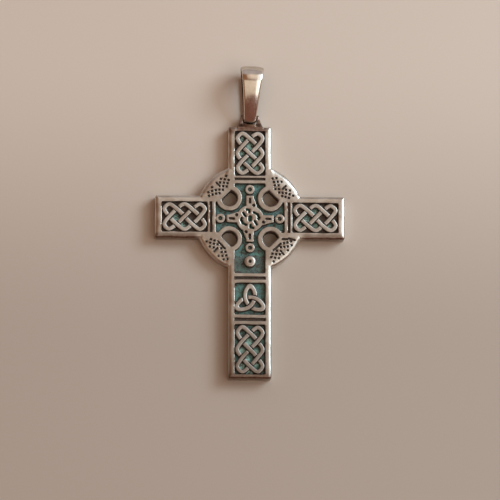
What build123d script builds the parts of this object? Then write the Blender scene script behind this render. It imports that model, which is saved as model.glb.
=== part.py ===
from build123d import *
import math
import os

# Cross plate, measured from the middle of the arms
arm_span = 36.15
arm_width = 8.2
top_reach = 17.55
foot_reach = 31.2
plate_thickness = 2.6
ring_radius = 10.4
corner_round = 0.3
edge_round = 0.28

# Recessed panels and the bars between them
side_border = 1.18
arm_end_border = 1.2
shaft_end_border = 0.78
recess_depth = 0.85
lane_reach = 6.55
lane_foot_reach = 10.85
inner_bar = 0.68
bar_groove = 0.38
outer_bar = 0.48
lower_bar = 0.71
lower_groove = 0.48
groove_depth = 0.5
triquetra_panel_length = 6.12
panel_corner_round = 0.15

# Knotwork strands
strand_width = 0.82
strand_gap = 0.12
strand_round = 0.18
strand_drop = 0.08
strand_root = 0.1
wall_inset = 0.25
triquetra_tip_radius = 3.12
triquetra_arc_bow = 0.5
triquetra_tip_round = 1.14
triquetra_head_room = 0.32

# Rosette in the middle, which sits a little below the middle of the arms
hub_drop = 0.27
hole_offset = 3.95
hole_radius = 1.53
hole_flat_distance = 6.45
hole_corner_round = 0.2
rim_width = 0.94
hub_ring_outer = 2.6
hub_ring_band = 0.62
hub_knot_strand = 0.46
detail_depth = 0.45
bar_width = 1.5
bar_reach = 4.5
slot_width = 0.3
slot_start = 2.93
slot_end = 4.0
bar_root = 0.2
flare_reach = 1.35
flare_width = 0.3
flare_pit_side = 0.71
flare_pit_distance = 2.55
flare_pit_radius = 0.24
stud_distance = 5.66
stud_radius = 0.91
stud_hole_radius = 0.3
ball_distance = 8.3
ball_radius = 1.09
ball_pit_radius = 0.2

# Plaited lattice on the four visible parts of the ring
lattice_inner = 7.57
lattice_row = 0.465
lattice_step = 7.2
lattice_turn = -1.9
lattice_pit = 0.34
lattice_slot_width = 0.27
lattice_depth = 0.4

# Cast ear at the top, with a straight bar for the bail
ear_bar = 0.9
ear_leg = 0.42
ear_base_width = 4.9
ear_end_round = 0.3
ear_web_extra = 0.4
ear_web_drop = 0.1
ear_hole_round = 0.4
ear_hole_play = 0.12
turn_clearance = 0.13

# Bail, a tapered strap bent into a closed loop
strap_thickness = 0.62
strap_width_at_bar = 2.4
strap_width_midway = 2.95
strap_width_at_end = 4.4
strap_round = 0.2
bail_spread = 7.0
bail_end_radius = 2.9
bail_front_radius = 22
bar_above_plate = 2.03

# Small allowances of the modelling itself
overshoot = 1
smallest_corner = 0.05
corner_share = 0.45
straight_limit = 1
bail_lift = 0.02

# Places worked out from the sizes above
field_half_width = arm_width / 2 - side_border
bar_group = inner_bar + bar_groove + outer_bar
lower_group = 2 * lower_bar + lower_groove
floor_z = plate_thickness - recess_depth
strand_top_z = plate_thickness - strand_drop
turn_inner = ear_bar / 2 + turn_clearance
turn_outer = turn_inner + strap_thickness
bar_y = top_reach + bar_above_plate
bar_z = turn_outer + bail_lift
bail_tilt = math.degrees(math.asin((bail_end_radius - bar_z) / bail_spread))
bail_reach = bar_y + bail_spread * math.cos(math.radians(bail_tilt)) + bail_end_radius
middle_y = (foot_reach - bail_reach) / 2
panels_top = lane_reach + bar_group
triquetra_top = -lane_foot_reach - lower_group
triquetra_bottom = triquetra_top - triquetra_panel_length
triquetra_middle = (0, triquetra_top - triquetra_head_room - triquetra_tip_radius)
arm_field_end = arm_span / 2 - arm_end_border
shaft_field_top = top_reach - shaft_end_border
shaft_field_bottom = shaft_end_border - foot_reach

# The plaited panels: left, right, bottom and top edge, then the plait's loops across and up
panels = {
    "left": (-arm_field_end, -panels_top, -field_half_width, field_half_width, 3, 2),
    "right": (panels_top, arm_field_end, -field_half_width, field_half_width, 3, 2),
    "top": (-field_half_width, field_half_width, panels_top, shaft_field_top, 2, 3),
    "foot": (-field_half_width, field_half_width, shaft_field_bottom, triquetra_bottom - lower_group, 2, 3),
}

# The two interlaced ovals of the knot in the middle: angle, half the length, half the breadth
hub_ovals = [
    (146, 1.9, 0.66),
    (33, 1.2, 0.55),
]

# Pits of the lattice, a row for each line of pits from the outside in: the steps to each
# side of the middle of that part of the ring. The lower half has a groove as its inner row.
lattice_rows = [
    (-2, -1, 1, 2),
    (-1.5, -0.5, 1.5, 2.5),
    (-2, -1, 1, 2),
    (-1.5, -0.5, 0.5, 1.5),
]
upper_inner_row = (-1, 0, 1)


def box_face(left, right, bottom, top):
    """A flat rectangle between two x and two y places."""
    return Pos((left + right) / 2, (bottom + top) / 2) * Rectangle(right - left, top - bottom)


def rounded_box_face(left, right, bottom, top, radius):
    """The same rectangle with rounded corners."""
    middle = Pos((left + right) / 2, (bottom + top) / 2)
    return middle * RectangleRounded(right - left, top - bottom, radius)


def raise_face(face, low, high):
    """A solid with the face as its plan, from one height to another."""
    return extrude(Pos(0, 0, low) * face, high - low)


def cut_down(face, depth):
    """The solid to remove below the top of the plate."""
    return raise_face(face, plate_thickness - depth, plate_thickness + overshoot)


def side_line(points, radii, offset):
    """One side of a band: the points moved sideways, with concentric corner arcs."""
    moved, corner_radii = [], []
    last = len(points) - 1
    for index, point in enumerate(points):
        here = Vector(*point)
        before = (here - Vector(*points[index - 1])).normalized() if index > 0 else None
        after = (Vector(*points[index + 1]) - here).normalized() if index < last else None
        first = before or after
        second = after or before
        first_normal = Vector(-first.Y, first.X)
        second_normal = Vector(-second.Y, second.X)
        miter = (first_normal + second_normal) * (1 / (1 + first_normal.dot(second_normal)))
        moved.append(here + miter * offset)
        if before and after:
            turn = math.copysign(1, first.X * second.Y - first.Y * second.X)
            corner_radii.append(max(radii[index - 1] - turn * offset, smallest_corner))
    if corner_radii:
        return FilletPolyline(*moved, radius=corner_radii), moved
    return Polyline(*moved), moved


def band(points, width):
    """A flat strand of even width along a line whose corners are as round as its runs allow."""
    radii = []
    for before, here, after in zip(points, points[1:], points[2:]):
        first = Vector(*here) - Vector(*before)
        second = Vector(*after) - Vector(*here)
        turn = math.radians(first.get_angle(second))
        radii.append(corner_share * min(first.length, second.length) / math.tan(turn / 2))
    left, left_points = side_line(points, radii, width / 2)
    right, right_points = side_line(points, radii, -width / 2)
    caps = [Line(left_points[-1], right_points[-1]), Line(right_points[0], left_points[0])]
    return make_face(left.edges() + right.edges() + caps)


def plait_walk(columns, rows):
    """The nodes that one closed strand visits on a grid, each with its kind."""
    nodes = []
    column, row, step_x, step_y = 1, 0, 1, 1
    while True:
        on_wall = column in (0, 2 * columns) or row in (0, 2 * rows)
        falls = step_x == step_y
        over = falls == (column % 2 == 0)
        nodes.append((column, row, "wall" if on_wall else "over" if over else "under"))
        column, row = column + step_x, row + step_y
        step_x = -step_x if column in (0, 2 * columns) else step_x
        step_y = -step_y if row in (0, 2 * rows) else step_y
        if (column, row, step_x, step_y) == (1, 0, 1, 1):
            return nodes


def plait_runs(left, right, bottom, top, columns, rows):
    """The visible stretches of a plait that fills a panel, each between two under-crossings."""
    cell_x = (right - left) / (2 * columns)
    cell_y = (top - bottom) / (2 * rows)

    def place(column, row):
        column = min(max(column, wall_inset), 2 * columns - wall_inset)
        row = min(max(row, wall_inset), 2 * rows - wall_inset)
        return left + column * cell_x, top - row * cell_y

    nodes = plait_walk(columns, rows)
    first = next(index for index, node in enumerate(nodes) if node[2] == "under")
    nodes = nodes[first:] + nodes[: first + 1]
    runs, run = [], []
    for column, row, kind in nodes:
        run.append(place(column, row))
        if kind == "under" and len(run) > 1:
            runs.append(trim(run, strand_width / 2 + strand_gap))
            run = [place(column, row)]
    return runs


def trim(points, amount):
    """The line without its ends and without the points that lie straight between others."""
    first_run = Vector(*points[1]) - Vector(*points[0])
    last_run = Vector(*points[-1]) - Vector(*points[-2])
    start = Vector(*points[0]) + first_run.normalized() * amount
    end = Vector(*points[-1]) - last_run.normalized() * amount
    kept = [(start.X, start.Y)]
    for before, here, after in zip(points, points[1:], points[2:]):
        turn = (Vector(*here) - Vector(*before)).get_angle(Vector(*after) - Vector(*here))
        if turn > straight_limit:
            kept.append(here)
    return kept + [(end.X, end.Y)]


def strand_solid(face):
    """A raised strand with softened top edges, rooted just under the panel's floor."""
    solid = raise_face(face, floor_z - strand_root, strand_top_z)
    return fillet(solid.edges().group_by(Axis.Z)[-1], strand_round)


def polar(distance, angle):
    """The x and y of a point given by its distance and its angle in degrees."""
    return distance * math.cos(math.radians(angle)), distance * math.sin(math.radians(angle))


def triquetra_face():
    """Three interlaced arcs between three tips, cut where one passes under the next."""
    half_chord = triquetra_tip_radius * math.sin(math.radians(60))
    centre_distance = triquetra_tip_radius / 2 + triquetra_arc_bow
    arc_radius = math.hypot(half_chord, triquetra_arc_bow)
    crossing_distance = centre_distance - triquetra_tip_radius
    inner_tip_round = triquetra_tip_round - strand_width
    # Each arc lies on a circle of its own, and each tip halfway between two circles' centres
    arc_angles = [30, 150, 270]
    neighbours = list(zip(arc_angles, arc_angles[1:] + arc_angles[:1]))
    centres = {angle: Pos(*polar(centre_distance, angle)) for angle in arc_angles}
    outer_disc = Circle(arc_radius + strand_width / 2)
    inner_disc = Circle(arc_radius - strand_width / 2)
    gap_ring = ring_face(arc_radius, strand_width + 2 * strand_gap) - ring_face(arc_radius, strand_width)
    under_ring = ring_face(arc_radius, strand_width + strand_gap)
    face = Sketch()
    for first, second in neighbours:
        outside = (centres[first] * outer_disc) & (centres[second] * outer_disc)
        inside = (centres[first] * inner_disc) & (centres[second] * inner_disc)
        face += round_tip(outside, triquetra_tip_round) - round_tip(inside, inner_tip_round)
    for under, over in neighbours:
        crossing = Pos(*polar(crossing_distance, under + 60)) * Circle(strand_width)
        face -= (centres[over] * gap_ring) & (centres[under] * under_ring) & crossing
    return face


def round_tip(lens, radius):
    """The lens between two circles, with its outer tip rounded off."""
    tip = lens.vertices().sort_by(lambda vertex: Vector(vertex).length)[-1]
    return fillet(tip, radius)


def ring_face(radius, width):
    """A flat ring of even width."""
    return Circle(radius + width / 2) - Circle(radius - width / 2)


def hole_faces():
    """The four pierced holes: round towards the middle, with a flat side along the ring."""
    distance = hole_offset * math.sqrt(2)
    flat = hole_flat_distance - distance
    half_flat = math.sqrt(hole_radius**2 - flat**2)
    arc = ThreePointArc((flat, half_flat), (-hole_radius, 0), (flat, -half_flat))
    hole = make_face([arc, Line((flat, -half_flat), (flat, half_flat))])
    hole = fillet(hole.vertices(), hole_corner_round)
    hole = Pos(distance, 0) * hole
    return [Pos(0, -hub_drop) * Rot(0, 0, 45 + 90 * turn) * hole for turn in range(4)]


def spoke_face():
    """A bar that points up from the middle ring, with a flare on its right side."""
    half = bar_width / 2
    flare_tip = (flare_reach, hub_ring_outer - flare_width)
    flare = Polygon((half, slot_end), flare_tip, (half, hub_ring_outer - 2 * flare_width), align=None)
    return box_face(-half, half, hub_ring_outer - bar_root, bar_reach) + flare


def spoke_pits():
    """The slot in a bar and the small pit in its flare."""
    slot = Rot(0, 0, 90) * SlotOverall(slot_end - slot_start, slot_width)
    pit = Pos(flare_pit_side, flare_pit_distance) * Circle(flare_pit_radius)
    return [Pos(0, (slot_start + slot_end) / 2) * slot, pit]


def rosette_relief():
    """Everything that stands up in the middle: rims, ring, knot, bars and studs."""
    face = ring_face(hub_ring_outer - hub_ring_band / 2, hub_ring_band)
    half = hub_knot_strand / 2
    for angle, length, breadth in hub_ovals:
        oval = Ellipse(length + half, breadth + half) - Ellipse(length - half, breadth - half)
        face += Rot(0, 0, angle) * oval
    for turn in range(4):
        rim_place = Pos(*polar(hole_offset * math.sqrt(2), 45 + 90 * turn))
        face += rim_place * Circle(hole_radius + rim_width)
        face += Rot(0, 0, 90 * turn) * spoke_face()
        face += Pos(*polar(stud_distance, 90 * turn)) * Circle(stud_radius)
    return Pos(0, -hub_drop) * face


def rosette_pits():
    """The small pits cut into the raised rosette."""
    pits = []
    for turn in range(4):
        pits += [Rot(0, 0, 90 * turn) * pit for pit in spoke_pits()]
        pits.append(Pos(*polar(stud_distance, 90 * turn)) * Circle(stud_hole_radius))
    pits.append(Pos(0, -ball_distance) * Circle(ball_pit_radius))
    return [Pos(0, -hub_drop) * pit for pit in pits]


def lattice_pits():
    """The pits between the fine plaited strands on each part of the ring that shows."""
    outer = lattice_inner + lattice_row * len(lattice_rows)
    diamond = RegularPolygon(lattice_pit / 2, 4)
    slot = SlotOverall(2 * lattice_row + lattice_pit, lattice_slot_width)
    step_angle = math.radians(lattice_step)
    groove = SlotOverall(2 * lattice_inner * math.sin(step_angle) + lattice_pit, lattice_slot_width)
    groove = Pos(lattice_inner * math.cos(step_angle), 0) * Rot(0, 0, 90) * groove
    pits = []
    for turn in range(4):
        middle = Rot(0, 0, 45 + 90 * turn + lattice_turn)
        pits.append(middle * Pos(outer - lattice_row, 0) * slot)
        upper = turn < 2
        rows = lattice_rows + [upper_inner_row] if upper else lattice_rows
        if not upper:
            pits.append(middle * groove)
        for row, steps in enumerate(rows):
            place = Pos(outer - row * lattice_row, 0) * diamond
            pits += [middle * Rot(0, 0, step * lattice_step) * place for step in steps]
    return [Pos(0, -hub_drop) * pit for pit in pits]


def bar_grooves():
    """The groove that splits each pair of bars between two panels."""
    start = lane_reach + inner_bar
    end = start + bar_groove
    half = field_half_width
    grooves = [
        box_face(-end, -start, -half, half),
        box_face(start, end, -half, half),
        box_face(-half, half, start, end),
    ]
    for panel_edge in (-lane_foot_reach, triquetra_bottom):
        groove_top = panel_edge - lower_bar
        grooves.append(box_face(-half, half, groove_top - lower_groove, groove_top))
    return grooves


def cross_plate():
    """The plate with its ring, softened all round, before any relief."""
    outline = Rectangle(arm_span, arm_width)
    outline += box_face(-arm_width / 2, arm_width / 2, -foot_reach, top_reach)
    outline += Circle(ring_radius)
    outline = fillet(outline.vertices(), corner_round)
    plate = extrude(outline, plate_thickness)
    return fillet(plate.edges().group_by(Axis.Z)[-1], edge_round)


def panel_cuts():
    """The recessed floors of the panels and of the middle."""
    half = field_half_width
    floors = [rounded_box_face(*panel[:4], panel_corner_round) for panel in panels.values()]
    floors.append(rounded_box_face(-half, half, triquetra_bottom, triquetra_top, panel_corner_round))
    lanes = box_face(-half, half, -lane_foot_reach, lane_reach)
    lanes += box_face(-lane_reach, lane_reach, -half, half)
    floors.append(lanes - rosette_relief())
    return [cut_down(floor, recess_depth) for floor in floors]


def ball():
    """The domed ball below the rosette."""
    radius = (ball_radius**2 + recess_depth**2) / (2 * recess_depth)
    return Pos(0, -hub_drop - ball_distance, plate_thickness - radius) * Sphere(radius)


def ear():
    """The cast ear: a web rooted in the plate, two legs and a round bar across them."""
    hole_half = strap_width_at_bar / 2 + ear_hole_play
    hole_low = bar_y - turn_outer - ear_hole_play
    leg_half = hole_half + ear_leg
    plan = Polygon(
        (-ear_base_width / 2, top_reach - shaft_end_border),
        (ear_base_width / 2, top_reach - shaft_end_border),
        (ear_base_width / 2, top_reach),
        (leg_half, bar_y),
        (-leg_half, bar_y),
        (-ear_base_width / 2, top_reach),
        align=None,
    )
    hole = box_face(-hole_half, hole_half, hole_low, bar_y + overshoot)
    plan -= fillet(hole.vertices().group_by(Axis.Y)[0], ear_hole_round)
    low, high = bar_z - ear_bar / 2, bar_z + ear_bar / 2
    side = Polygon(
        (top_reach - shaft_end_border, low - ear_web_extra),
        (top_reach - shaft_end_border, plate_thickness - ear_web_drop),
        (top_reach, plate_thickness - ear_web_drop),
        (hole_low, high + ear_web_extra / 2),
        (bar_y - ear_bar / 2, high),
        (bar_y, high),
        (bar_y, low),
        (bar_y - ear_bar / 2, low),
        (hole_low, low - ear_web_extra / 2),
        (top_reach, low - ear_web_extra),
        align=None,
    )
    web = extrude(plan, plate_thickness) & extrude(Plane.YZ * side, ear_base_width, both=True)
    rod = Cylinder(ear_bar / 2, 2 * leg_half)
    rod = fillet(rod.edges().filter_by(GeomType.CIRCLE), ear_end_round)
    return web + Pos(0, bar_y, bar_z) * Rot(0, 90, 0) * rod


def bail():
    """The strap: a drop-shaped loop seen from the side, tapered seen from the front."""
    slope = math.asin((bail_end_radius - turn_outer) / bail_spread)
    back_angle = -90 - math.degrees(slope)
    # The bowed front is an arc that touches the arcs round the bar and at the far end
    to_bar = bail_front_radius - turn_outer
    to_end = bail_front_radius - bail_end_radius
    bow_y = (to_bar**2 - to_end**2 + bail_spread**2) / (2 * bail_spread)
    bow_z = -math.sqrt(to_bar**2 - bow_y**2)
    bar_angle = math.degrees(math.atan2(-bow_z, -bow_y))
    end_angle = math.degrees(math.atan2(-bow_z, bail_spread - bow_y))

    def on_arc(centre, radius, angle):
        along, up = polar(radius, angle)
        return centre[0] + along, centre[1] + up

    def loop(inset):
        turn_radius, end_radius = turn_outer - inset, bail_end_radius - inset
        bar_front = on_arc((0, 0), turn_radius, bar_angle)
        bar_back = on_arc((0, 0), turn_radius, back_angle)
        end_front = on_arc((bail_spread, 0), end_radius, end_angle)
        end_back = on_arc((bail_spread, 0), end_radius, back_angle)
        front_middle = on_arc((bow_y, bow_z), bail_front_radius - inset, (bar_angle + end_angle) / 2)
        lines = [
            ThreePointArc(bar_front, front_middle, end_front),
            ThreePointArc(end_front, (bail_spread + end_radius, 0), end_back),
            Line(end_back, bar_back),
            ThreePointArc(bar_back, (-turn_radius, 0), bar_front),
        ]
        return make_face(lines)

    side = loop(0) - loop(strap_thickness)
    far = bail_spread + bail_end_radius
    halves = [strap_width_at_bar / 2, strap_width_midway / 2, strap_width_at_end / 2]
    right = ThreePointArc((halves[0], 0), (halves[1], far / 2), (halves[2], far))
    left = ThreePointArc((-halves[2], far), (-halves[1], far / 2), (-halves[0], 0))
    below = -turn_outer - overshoot
    foot = Polyline((-halves[0], 0), (-halves[0], below), (halves[0], below), (halves[0], 0))
    plan = make_face([right, Line((halves[2], far), (-halves[2], far)), left] + foot.edges())
    strap = extrude(Plane.YZ * side, strap_width_at_end, both=True)
    strap &= extrude(plan, 2 * bail_end_radius, both=True)
    strap = fillet(strap.edges(), strap_round)
    return Pos(0, bar_y, bar_z) * Rot(bail_tilt, 0, 0) * strap


def cross():
    """The whole casting."""
    solid = cross_plate() + ear()
    solid -= panel_cuts()
    solid -= [cut_down(face, groove_depth) for face in bar_grooves()]
    solid -= [cut_down(face, plate_thickness + overshoot) for face in hole_faces()]
    runs = [run for panel in panels.values() for run in plait_runs(*panel)]
    strands = [strand_solid(band(run, strand_width)) for run in runs]
    knot = Pos(*triquetra_middle) * triquetra_face()
    strands.append(raise_face(knot, floor_z - strand_root, strand_top_z))
    solid += strands + [ball()]
    solid -= [cut_down(face, detail_depth) for face in rosette_pits()]
    solid -= [cut_down(face, lattice_depth) for face in lattice_pits()]
    return solid


os.makedirs("parts", exist_ok=True)
pieces = {"cross": cross(), "bail": bail()}
for name, piece in pieces.items():
    export_step(Pos(0, middle_y, 0) * piece, f"parts/{name}.step")
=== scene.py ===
import math
import bmesh
import bpy
import numpy as np
from mathutils import Matrix, Vector

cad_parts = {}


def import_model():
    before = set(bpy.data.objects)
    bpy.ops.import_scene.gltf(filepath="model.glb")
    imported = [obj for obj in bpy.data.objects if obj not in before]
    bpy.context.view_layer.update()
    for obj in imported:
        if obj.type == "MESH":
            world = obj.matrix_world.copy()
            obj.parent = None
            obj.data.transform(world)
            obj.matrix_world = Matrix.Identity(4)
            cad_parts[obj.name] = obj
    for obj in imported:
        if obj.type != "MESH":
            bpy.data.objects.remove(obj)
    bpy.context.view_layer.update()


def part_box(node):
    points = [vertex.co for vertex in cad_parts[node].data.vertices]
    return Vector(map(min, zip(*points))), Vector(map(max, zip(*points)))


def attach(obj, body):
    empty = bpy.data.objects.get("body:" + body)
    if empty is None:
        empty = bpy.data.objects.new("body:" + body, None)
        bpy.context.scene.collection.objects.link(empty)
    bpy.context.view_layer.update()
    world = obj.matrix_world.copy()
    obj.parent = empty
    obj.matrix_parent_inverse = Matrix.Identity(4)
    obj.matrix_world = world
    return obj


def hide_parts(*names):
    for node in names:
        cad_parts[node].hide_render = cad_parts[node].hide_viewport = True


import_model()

# All relief is worked out in millimetres from the middle of the arms
MM = 0.001

# Plate
arm_span = 36.15
arm_width = 8.2
top_reach = 17.55
foot_reach = 31.2
plate_thickness = 2.6
ring_radius = 10.45
corner_round = 0.35
edge_breadth = 0.7
edge_fall = 0.38
crown_breadth = 2.0
crown_fall = 0.06
ring_crown_extra = 0.18
ring_crown_start = 0.5
hole_edge_round = 0.16
back_edge_round = 0.12

# Panels, bars and grooves
side_border = 1.18
arm_end_border = 1.2
shaft_end_border = 0.78
recess_depth = 0.85
lane_reach = 6.55
lane_foot_reach = 10.85
inner_bar = 0.68
bar_groove = 0.38
outer_bar = 0.48
lower_bar = 0.71
lower_groove = 0.48
groove_depth = 0.5
triquetra_panel_length = 6.12
panel_corner_round = 0.25

# Walls of the relief: how far they slope outwards, and the rounded shoulder on top of them with
# its share of the height
wall_draft = 0.08
shoulder_round = 0.1
wall_shoulder_share = 0.22

# Knotwork strands
strand_width = 0.8
strand_gap = 0.1
strand_inset = 0.52
strand_drop = 0.05
strand_shoulder = 0.2
strand_end_shoulder = 0.05
strand_dome = 0.2
sample_spacing = 0.05
slant_allowance = 1.5
triquetra_tip_radius = 3.12
triquetra_arc_bow = 0.5
triquetra_tip_blend = 1.05
triquetra_head_room = 0.32

# Rosette
hub_drop = 0.27
hole_distance = 5.586
hole_radius = 1.53
hole_flat_distance = 6.45
rim_width = 0.94
hub_ring_outer = 2.6
detail_depth = 0.5
detail_shoulder = 0.12
bar_width = 1.5
bar_reach = 4.5
bar_corner_round = 0.15
bar_overlap = 0.3
slot_width = 0.34
slot_start = 2.93
slot_end = 4.0
flare_tip_side = 1.35
flare_tip_reach = 2.3
flare_pit_side = 0.71
flare_pit_reach = 2.55
flare_pit_radius = 0.24
stud_distance = 5.66
stud_radius = 0.91
stud_hole_radius = 0.33
ball_distance = 8.3
ball_radius = 1.14
ball_pit_radius = 0.25
ball_shoulder = 0.57
ball_dome = 0.4

# Openings between the strands of the rosette's knot, as slots: start, end and width. Each one
# has a twin on the other side of the middle.
knot_openings = [
    ((-0.60, 1.78), (-0.08, 1.66), 0.38),
    ((-0.08, 1.66), (-0.12, 1.22), 0.36),
    ((-1.24, 1.12), (-0.90, 0.52), 0.40),
    ((0.76, 1.20), (1.42, 0.84), 0.38),
    ((1.42, 0.84), (1.70, 0.20), 0.44),
    ((1.70, 0.20), (1.58, -0.10), 0.40),
    ((0.06, 0.28), (0.02, -0.28), 0.56),
]

# Lattice of pits on the ring, a row for each line of pits from the outside in: the steps to
# each side of the middle of that part of the ring. The lower half has a groove as inner row.
lattice_inner = 7.57
lattice_row = 0.465
lattice_step = 7.2
lattice_turn = -1.9
lattice_pit = 0.47
lattice_slot_width = 0.27
lattice_depth = 0.42
lattice_draft = 0.07
lattice_rows = [
    (-2, -1, 1, 2),
    (-1.5, -0.5, 1.5, 2.5),
    (-2, -1, 1, 2),
    (-1.5, -0.5, 0.5, 1.5),
]
upper_inner_row = (-1, 0, 1)

# Places where the maker's tool slipped on the lower right of the ring: start and end
lattice_slip_width = 0.32
lattice_slips = [
    ((6.27, -4.24), (7.09, -4.24)),
    ((7.47, -4.09), (8.52, -4.39)),
]

# Ear and bail
ear_bar = 0.9
ear_leg = 0.42
ear_base_width = 4.9
ear_edge_round = 0.15
ear_web_extra = 0.4
ear_web_drop = 0.1
ear_hole_play = 0.12
turn_clearance = 0.13
strap_thickness = 0.62
strap_width_at_bar = 2.4
strap_width_midway = 3.2
strap_width_at_end = 4.4
strap_crown = 0.2
strap_corner_power = 0.42
bail_spread = 7.0
bail_end_radius = 2.9
bail_front_radius = 22
bar_above_plate = 2.03
bail_lift = 0.02
bail_askew = 2.0
bail_shift = 0.04

# Meshes: the casting's grid and triangles, and the strap's points along each stretch and around
grid_step = 0.06
casting_triangles = 185000
weld_distance = 0.004
least_slope = 0.3
sharp_angle = 48
end_steps = 44
front_steps = 28
bar_steps = 30
back_steps = 28
section_steps = 48

# The casting's unevenness: a sideways wander, then seed, wavelength and height of bumps in front
wander = 0.055
wander_wavelength = 1.7
front_bumps = [
    (3, 0.5, 0.006),
    (4, 1.3, 0.012),
]

# Distance over which the depth is evened out, which tells open floors from narrow gaps
openness_blur = 0.24

# Verdigris: how much grows around the rosette, below it and between its knot's strands, and
# spots of it on the floors of the plaited panels by place and radius
rosette_verdigris = 0.65
lower_verdigris = 0.3
lower_verdigris_top = -7.3
knot_verdigris = 2
verdigris_hardness = 1.6
verdigris_spots = [
    (-14.1, -0.4, 1.2),
    (-12.8, -1.7, 1.1),
    (12.4, 1.0, 1.3),
    (10.7, -0.4, 1.2),
    (9.7, -1.7, 1.0),
    (12.6, -1.6, 1.1),
    (15.3, -1.6, 0.9),
    (-1.6, 9.2, 1.4),
    (1.4, 9.6, 1.2),
    (0.1, 13.8, 1.3),
    (-1.6, 12.7, 1.1),
    (0.0, 11.1, 1.0),
    (1.6, 12.5, 0.9),
    (-1.6, 15.4, 1.0),
    (-0.2, -24.1, 1.3),
    (-1.4, -25.9, 1.3),
    (1.2, -26.1, 1.2),
    (-0.6, -27.4, 1.3),
    (-1.6, -28.8, 1.2),
    (1.2, -28.2, 1.2),
    (0.2, -30.2, 2.0),
]

# How painted shade and the lower edges' brown set in on the arms: distances past the ring, then the
# share there
past_ring = ((-0.7, 0.3), (0, 1))

# Painted shade on the raised metal: distances from an edge, then the share of shade there
painted_shade_inwards = ((0.6, 1.6), (0, 0.22))
painted_shade_by_hole = ((0.1, 0.25), (0.6, 0))
painted_shade_up_arm = ((0, 0.5, 1.2), (1.0, 0.7, 0))
painted_shade_up_foot = ((0.5, 1.2), (0.3, 0))
painted_shade_at_foot_panel = 0.56
painted_shade_on_right_arm = 0.65

# Brown: tarnish on the ear from its edge inwards and in stains by place and radius; on the lower
# edges, partly tarnish and partly painted reflection of the dark room in front
ear_tarnish = ((-grid_step, 0.35), (0.8, 1))
edge_tarnish_and_painted_reflection = 0.95
edge_tarnish_and_painted_reflection_reach = 1.1
stain_tarnish = 0.8
stain_hardness = 2
stains = [
    (14.2, -4.2, 0.7),
    (-1.9, 17.3, 0.8),
    (-3.5, 16.9, 1.0),
    (2.9, 16.9, 0.7),
]

# Painted shade on the outside of the strap: on its lower half beyond a share of its half width, and
# by the cosine of its outward angle, where it bends round the bar and at its far end
strap_edge = 0.9
strap_painted_shade = ((-0.8, -0.4, 0.7, 0.9), (0.7, 0, 0, 0.35))

# Colours, as red, green and blue
tones = {
    "silver": (0.59, 0.54, 0.48),
    "bright silver": (0.69, 0.65, 0.59),
    "pink silver": (0.66, 0.55, 0.50),
    "shaded silver": (0.36, 0.30, 0.25),
    # Painted shade on the raised metal
    "painted_shade": (0.22, 0.185, 0.16),
    # Brown of tarnish, and on the lower edges partly painted reflection
    "tarnish_and_painted_reflection": (0.19, 0.11, 0.08),
    "light tarnish and painted reflection": (0.27, 0.18, 0.14),
    "oxide": (0.035, 0.021, 0.014),
    "light oxide": (0.12, 0.085, 0.062),
    "teal": (0.04, 0.115, 0.108),
    "light teal": (0.17, 0.33, 0.31),
    "green teal": (0.11, 0.26, 0.22),
    "bright teal": (0.38, 0.66, 0.58),
    "deep teal": (0.04, 0.22, 0.16),
    "strap": (0.84, 0.78, 0.70),
    "bright strap": (0.94, 0.88, 0.80),
    # Painted shade inside the strap's loop and where it turns dark
    "painted strap shade": (0.10, 0.06, 0.04),
    # The floor's colour near and far: the far one lighter as painted light
    "near floor": (0.52, 0.43, 0.36),
    "far floor": (0.735, 0.62, 0.525),
    "room": (0.42, 0.33, 0.26),
    "window": (0.63, 0.82, 0.96),
}

# Patterns: bumps in a millimetre, levels of detail and how strong the fine levels are
patterns = {
    "blotches": (0.5, 3, 0.5),
    "mottling": (1.6, 4, 0.6),
    "grain": (7.0, 4, 0.6),
    "tints": (0.9, 2, 0.5),
    "hairlines": (1.6, 4, 0.6),
    "strap blotches": (0.6, 2, 0.5),
}
hairline_stretch = (9.0, 0.8, 0.8)

# Steps in the materials: where each begins and ends on the mask or pattern that it follows, and
# its values there where they aren't 0 and 1
steps = {
    "oxide in recess": (0.1, 0.37),
    "panel floor": (0.5, 0.7),
    "open floor": (0.48, 0.74),
    "verdigris": (0.0, 0.6),
    "verdigris patches": (0.32, 0.54),
    "bright silver": (0.35, 0.65),
    "pink silver": (0.5, 0.75, 0.0, 0.4),
    "shaded silver": (0.56, 0.74, 0.0, 0.5),
    "light tarnish and painted reflection": (0.4, 0.6),
    "light oxide": (0.38, 0.62),
    "light teal": (0.4, 0.62),
    "green teal": (0.45, 0.62),
    "bright teal": (0.65, 1.0),
    "deep teal": (1.0, 2.0),
    "rough cover": (0.1, 0.8, 0.32, 0.6),
    "rough recess": (0.01, 0.12, 0.32, 0.5),
    "rough blotches": (0.3, 0.7, -0.03, 0.06),
    "bare metal": (0.7, 1.0, 1.0, 0.0),
    "bright strap": (0.35, 0.65),
    "rough hairlines": (0.3, 0.7, 0.12, 0.19),
    "rough strap blotches": (0.3, 0.7, 0.0, 0.04),
    # The floor's painted light, along the floor
    "far floor": (-25.0, 35.0),
}

# Bumps of the two metals: strength and height
grain_bump = (0.4, 0.02)
hairline_bump = (0.15, 0.01)

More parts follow.
